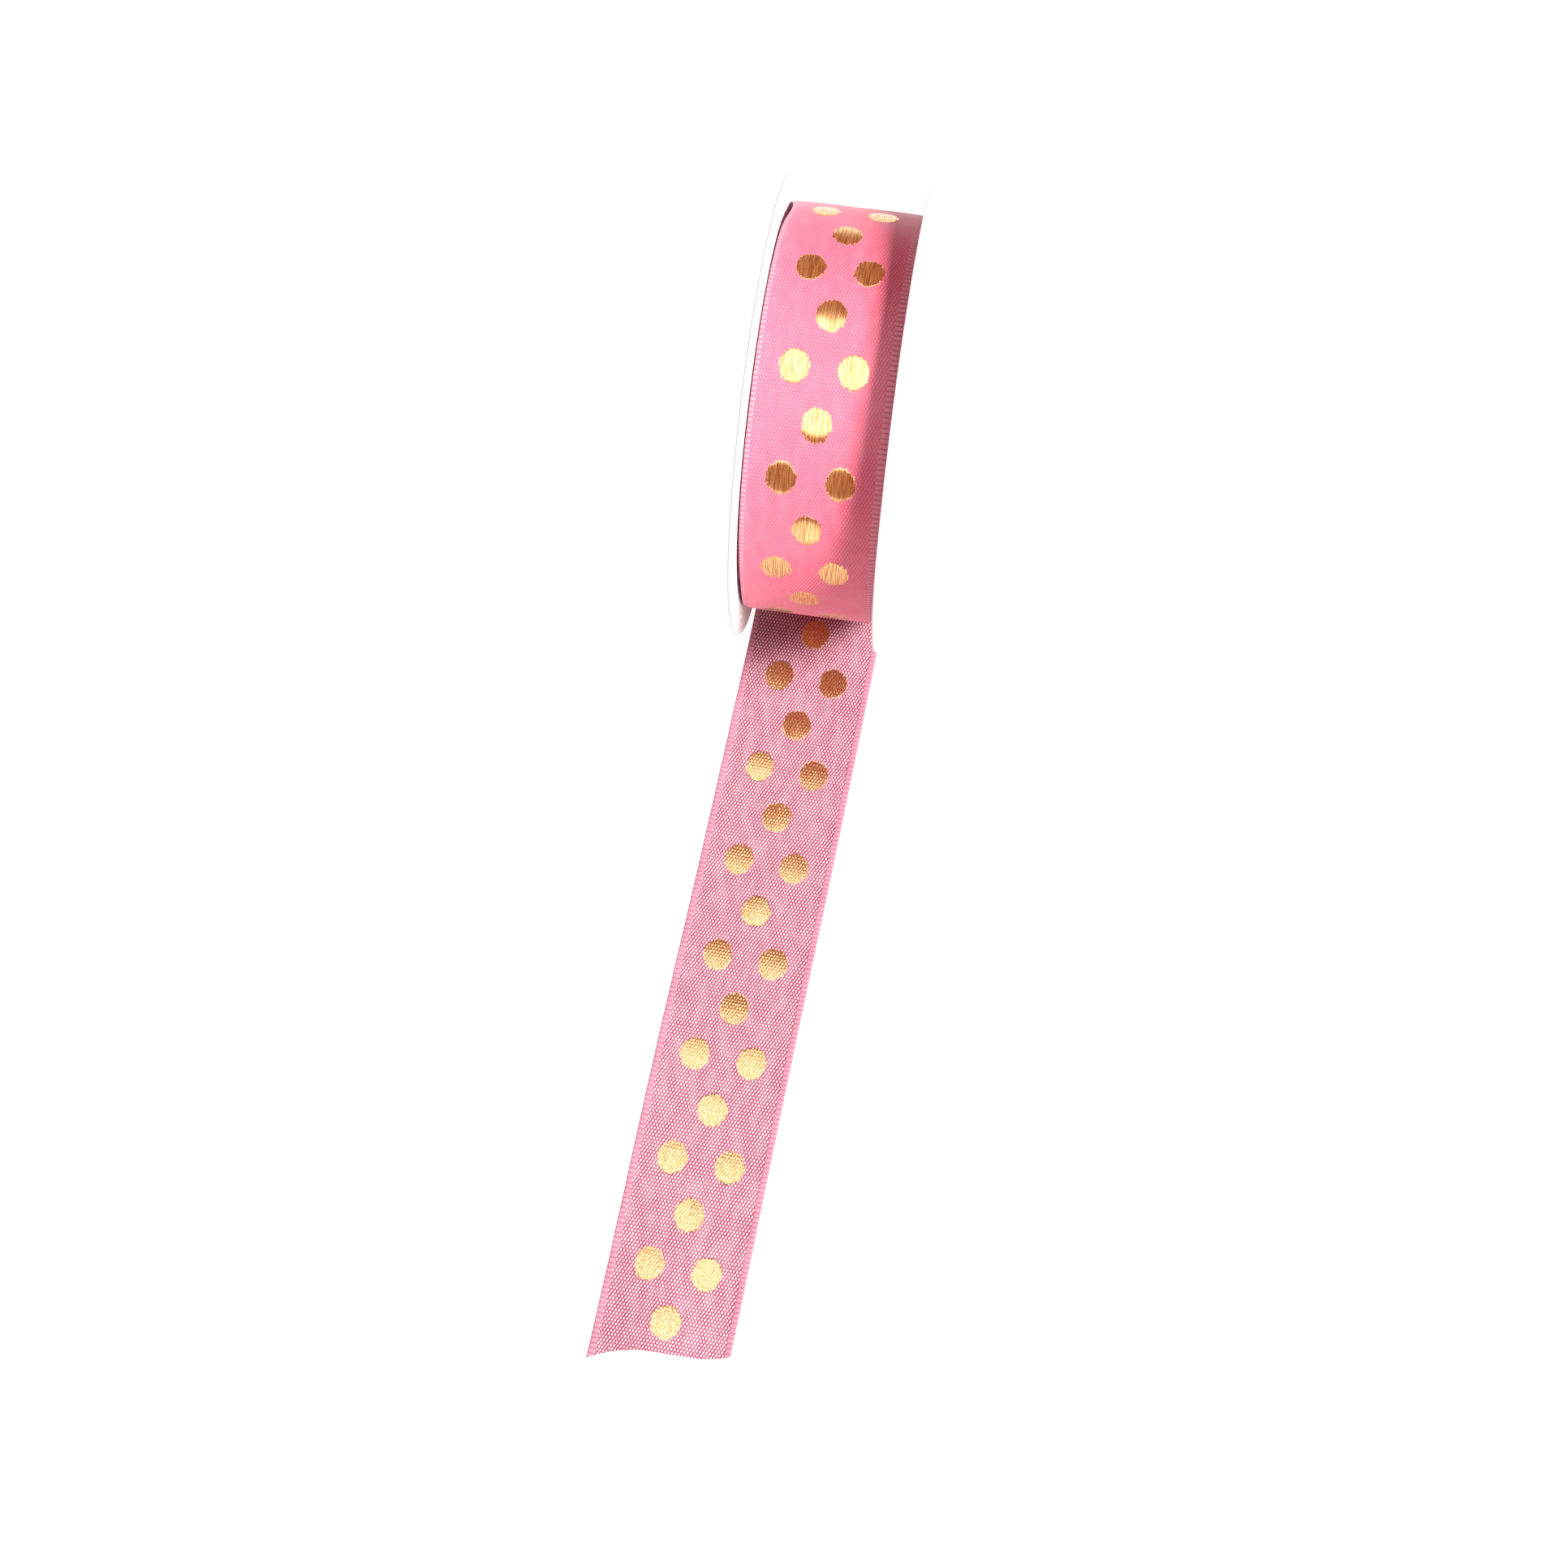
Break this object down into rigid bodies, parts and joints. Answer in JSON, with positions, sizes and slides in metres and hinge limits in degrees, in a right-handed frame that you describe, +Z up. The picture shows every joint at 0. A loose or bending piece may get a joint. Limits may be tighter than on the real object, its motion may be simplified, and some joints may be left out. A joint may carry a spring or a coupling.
{
  "type": "ribbon spool",
  "caption": "Two-flange plastic spool wound with dotted woven ribbon, standing on its rims with the loose end lying in front.",
  "frame": {"origin": "centre of the rod hole, on the spool's axis midway between the flanges", "axes": "+X along the spool's axis to the right flange, +Z up, the loose end lies towards -Y"},
  "size_m": [0.0331, 0.2123, 0.086],
  "materials": {
    "flange_plastic": "smooth white moulding",
    "core_plastic": "plain white moulding",
    "tape": "matt cloth tape",
    "ribbon": "pink twill satin with woven metallic gold dots"
  },
  "bodies": {
    "loose_ribbon": {"ribbon_tail": "ribbon"},
    "spool": {"left_flange": "flange_plastic", "right_flange": "flange_plastic", "core_tube": "core_plastic", "core_tape": "tape", "ribbon_roll": "ribbon"}
  },
  "joints": [
    {"name": "spool_turn", "type": "hinge", "parent": "loose_ribbon", "child": "spool", "pos_m": [0, 0, 0], "axis": [1, 0, 0], "continuous": true}
  ]
}
